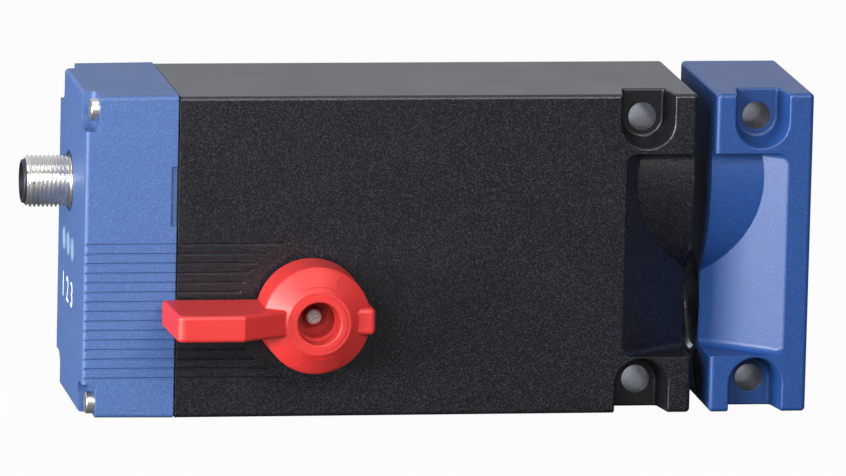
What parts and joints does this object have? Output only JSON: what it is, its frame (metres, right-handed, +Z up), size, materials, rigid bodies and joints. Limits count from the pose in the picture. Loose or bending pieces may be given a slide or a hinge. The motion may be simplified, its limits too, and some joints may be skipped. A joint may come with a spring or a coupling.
{
  "type": "solenoid interlock switch",
  "caption": "Bolt-type guard locking switch with a red release lever, round plug connector and a separate actuator block.",
  "frame": {"origin": "on the back mounting face, midway between the two mounting screw holes of the housing", "axes": "+X along the switch from the connector to the actuator, the front faces -Y, +Z up"},
  "size_m": [0.1809, 0.0677, 0.0753],
  "materials": {
    "black_coat": "fine textured powder coat on a die casting",
    "blue_cover_coat": "fine textured powder coat on a die casting",
    "blue_coat": "fine textured powder coat on a die casting",
    "red_plastic": "moulded, satin gloss",
    "black_plastic": "moulded, matt",
    "white_plastic": "moulded, matt",
    "clear_plastic": "moulded, frosted",
    "led_resin": "clear resin",
    "black_rubber": "moulded, matt",
    "stainless_steel": "turned, bright",
    "spring_steel": "drawn wire and strip",
    "zinc_plated_steel": "bright zinc plate",
    "nickel_plated_brass": "bright nickel plate",
    "gold_plated_brass": "thin gold plate",
    "bearing_bronze": "sintered, oiled",
    "copper_wire": "enamelled winding",
    "bare_zinc": "machined bare metal",
    "magnet": "nickel plated",
    "board_laminate": "glass laminate with green mask"
  },
  "bodies": {
    "housing": {"main_housing": "black_coat", "end_cover": "blue_cover_coat", "cover_gasket": "black_rubber", "cover_screws": "stainless_steel", "connector_shell": "nickel_plated_brass", "connector_insert": "black_plastic", "connector_pins": "gold_plated_brass", "connector_nut": "nickel_plated_brass", "connector_seal": "black_rubber", "light_pipe": "clear_plastic", "led_board": "board_laminate", "leds": "led_resin", "main_board": "board_laminate", "board_components": "black_plastic", "board_screws": "stainless_steel", "position_sensor": "black_plastic", "solenoid_frame": "zinc_plated_steel", "solenoid_bobbin": "white_plastic", "solenoid_coil": "copper_wire", "solenoid_core": "zinc_plated_steel", "guide_bush": "bearing_bronze", "bolt_wiper": "black_rubber", "return_spring": "spring_steel", "reader_coil": "black_plastic", "release_switch": "black_plastic", "switch_screws": "stainless_steel"},
    "bolt": {"locking_bolt": "stainless_steel", "spring_collar": "bearing_bronze", "position_magnet": "magnet", "push_rod": "stainless_steel", "plunger": "zinc_plated_steel"},
    "lever": {"release_lever": "red_plastic", "lever_screw": "stainless_steel", "lever_shaft": "stainless_steel", "shaft_seal": "black_rubber", "shaft_clip": "spring_steel", "release_cam": "white_plastic"},
    "button": {"switch_button": "white_plastic"},
    "actuator": {"actuator_body": "blue_coat", "bolt_socket": "bare_zinc", "coding_tag": "black_plastic"}
  },
  "joints": [
    {"name": "bolt_slide", "type": "slide", "parent": "housing", "child": "bolt", "axis": [1, 0, 0], "range_m": [0, 0.019], "stiffness_N_per_m": 120, "deforming": ["return_spring"]},
    {"name": "lever_turn", "type": "hinge", "parent": "housing", "child": "lever", "pos_m": [-0.0784, -0.046, -0.0125], "axis": [0, -1, 0], "range_deg": [0, 45]},
    {"name": "button_press", "type": "slide", "parent": "housing", "child": "button", "axis": [0, 0, 1], "range_m": [0, 0.0012]},
    {"name": "actuator_slide", "type": "slide", "parent": "housing", "child": "actuator", "axis": [1, 0, 0], "range_m": [0, 0.04]}
  ],
  "couplings": [
    {"joint": "button_press", "follows": "lever_turn", "m_per_rad": 0.0015279}
  ]
}
